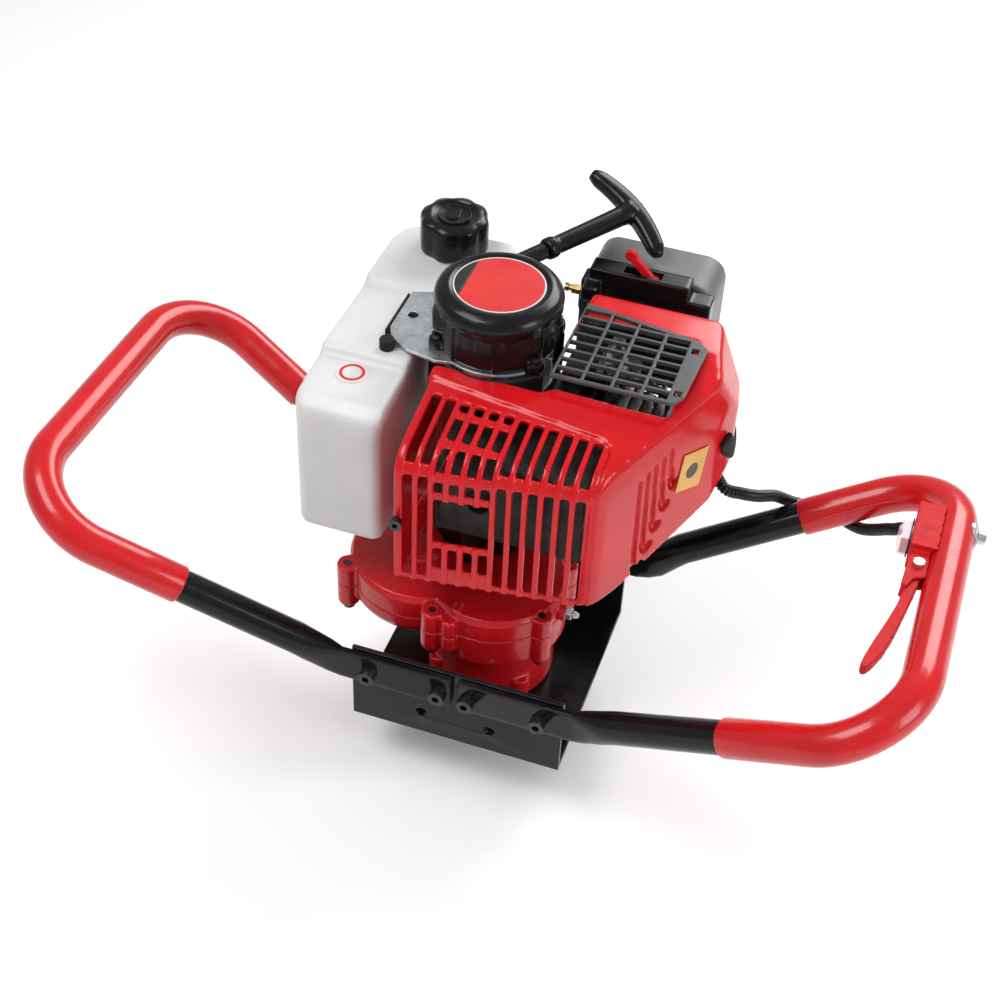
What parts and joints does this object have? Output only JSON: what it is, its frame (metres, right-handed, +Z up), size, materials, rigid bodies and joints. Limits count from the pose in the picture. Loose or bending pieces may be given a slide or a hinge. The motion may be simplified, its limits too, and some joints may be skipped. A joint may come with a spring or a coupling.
{
  "type": "auger powerhead",
  "caption": "Petrol auger powerhead: red shrouded engine on a reduction gearbox and drive shaft, carried in a bracket between two tubular handle loops.",
  "frame": {"origin": "output shaft's axis at the underside of the mounting bracket", "axes": "+Z up along the output and crank axes, +X towards the handle with the throttle, -Y towards the exhaust side"},
  "size_m": [0.7, 0.3902, 0.393],
  "materials": {
    "black_paint": "gloss",
    "red_paint": "gloss",
    "red_plastic": "gloss",
    "red_grip": "gloss",
    "black_plastic": "gloss",
    "matt_black_plastic": "satin",
    "grey_plastic": "satin",
    "tank_plastic": "satin",
    "steel": "satin",
    "black_steel": "satin",
    "zinc": "satin",
    "alloy": "satin",
    "rubber": "matt",
    "brass": "satin",
    "rope": "matt",
    "filter_foam": "matt",
    "label_film": "gloss",
    "switch_clear": "gloss"
  },
  "bodies": {
    "powerhead": {"mounting_bracket": "black_paint", "bracket_bolts": "steel", "gearbox_case": "red_paint", "gearbox_cover": "red_paint", "gearbox_bolts": "steel", "grease_nipple": "zinc", "output_bearings": "steel", "oil_seal": "rubber", "shaft_bearings": "steel", "clutch_housing": "black_paint", "housing_bolts": "steel", "crankcase": "alloy", "main_bearings": "steel", "cylinder": "alloy", "spark_plug": "alloy", "plug_boot": "rubber", "ignition_lead": "rubber", "ignition_coil": "matt_black_plastic", "muffler": "black_steel", "insulator": "matt_black_plastic", "carburettor": "alloy", "fuel_fitting": "brass", "filter_base": "matt_black_plastic", "filter_element": "filter_foam", "filter_cover": "grey_plastic", "engine_shroud": "red_plastic", "shroud_grid": "grey_plastic", "cover_screws": "steel", "fan_housing": "black_paint", "tank_bracket": "zinc", "tank_cushion": "rubber", "starter_cover": "black_plastic", "starter_label": "label_film", "recoil_spring": "steel", "fuel_tank": "tank_plastic", "handle_tubes": "black_paint", "grips": "red_grip", "handle_bolts": "black_steel", "handle_nuts": "steel", "switch_housing": "red_plastic", "lever_screw": "zinc", "clamp_washer": "zinc", "cable_conduit": "matt_black_plastic"},
    "output_drive": {"output_shaft": "steel", "output_gear": "steel"},
    "intermediate_drive": {"intermediate_shaft": "steel", "intermediate_gear": "steel"},
    "clutch_drum": {"clutch_drum": "steel"},
    "crank": {"crankshaft": "steel", "flywheel_fan": "alloy", "clutch_shoes": "alloy", "clutch_spring": "steel"},
    "piston": {"piston": "alloy"},
    "pull_grip": {"pull_handle": "black_plastic", "starter_rope": "rope"},
    "rope_pulley": {"starter_pulley": "alloy"},
    "fuel_cap": {"fuel_cap": "black_plastic"},
    "choke": {"choke_lever": "red_plastic"},
    "throttle": {"throttle_lever": "red_plastic"},
    "stop_switch": {"kill_switch": "switch_clear"}
  },
  "joints": [
    {"name": "drum_spin", "type": "hinge", "parent": "powerhead", "child": "clutch_drum", "pos_m": [-0.02528, 0.05653, 0.1], "axis": [0, 0, 1], "continuous": true},
    {"name": "intermediate_spin", "type": "hinge", "parent": "powerhead", "child": "intermediate_drive", "pos_m": [-0.0619, 0.00527, 0.08], "axis": [0, 0, 1], "continuous": true},
    {"name": "output_spin", "type": "hinge", "parent": "powerhead", "child": "output_drive", "pos_m": [0, 0, 0.04], "axis": [0, 0, 1], "continuous": true},
    {"name": "crank_spin", "type": "hinge", "parent": "powerhead", "child": "crank", "pos_m": [-0.02528, 0.05653, 0.2], "axis": [0, 0, 1], "continuous": true},
    {"name": "piston_stroke", "type": "slide", "parent": "powerhead", "child": "piston", "axis": [1, 0, 0], "range_m": [-0.034, 0]},
    {"name": "rope_pull", "type": "slide", "parent": "powerhead", "child": "pull_grip", "axis": [0.5272, 0.8498, 0], "range_m": [0, 0.06], "stiffness_N_per_m": 20, "springref_m": -0.02},
    {"name": "pulley_turn", "type": "hinge", "parent": "powerhead", "child": "rope_pulley", "pos_m": [-0.02528, 0.05653, 0.32], "axis": [0, 0, 1], "range_deg": [-120, 5]},
    {"name": "fuel_cap_turn", "type": "hinge", "parent": "powerhead", "child": "fuel_cap", "pos_m": [-0.095, 0.155, 0.305], "axis": [0, 0, 1], "range_deg": [0, 540]},
    {"name": "choke_swing", "type": "hinge", "parent": "powerhead", "child": "choke", "pos_m": [0.068, 0.157, 0.295], "axis": [0, 1, 0], "range_deg": [-16, 15]},
    {"name": "throttle_squeeze", "type": "hinge", "parent": "powerhead", "child": "throttle", "pos_m": [0.3104, 0.02206, 0.19479], "axis": [0, 0.0558, 0.9984], "range_deg": [0, 7], "stiffness_Nm_per_rad": 0.6, "springref_deg": -5.73},
    {"name": "stop_rocker", "type": "hinge", "parent": "powerhead", "child": "stop_switch", "pos_m": [0.3024, 0.05654, 0.19336], "axis": [0, 0.0558, 0.9984], "range_deg": [-10, 10]}
  ],
  "couplings": [
    {"joint": "intermediate_spin", "follows": "drum_spin", "ratio": -0.18033},
    {"joint": "output_spin", "follows": "drum_spin", "ratio": 0.036677},
    {"joint": "pulley_turn", "follows": "rope_pull", "rad_per_m": -32.547}
  ]
}
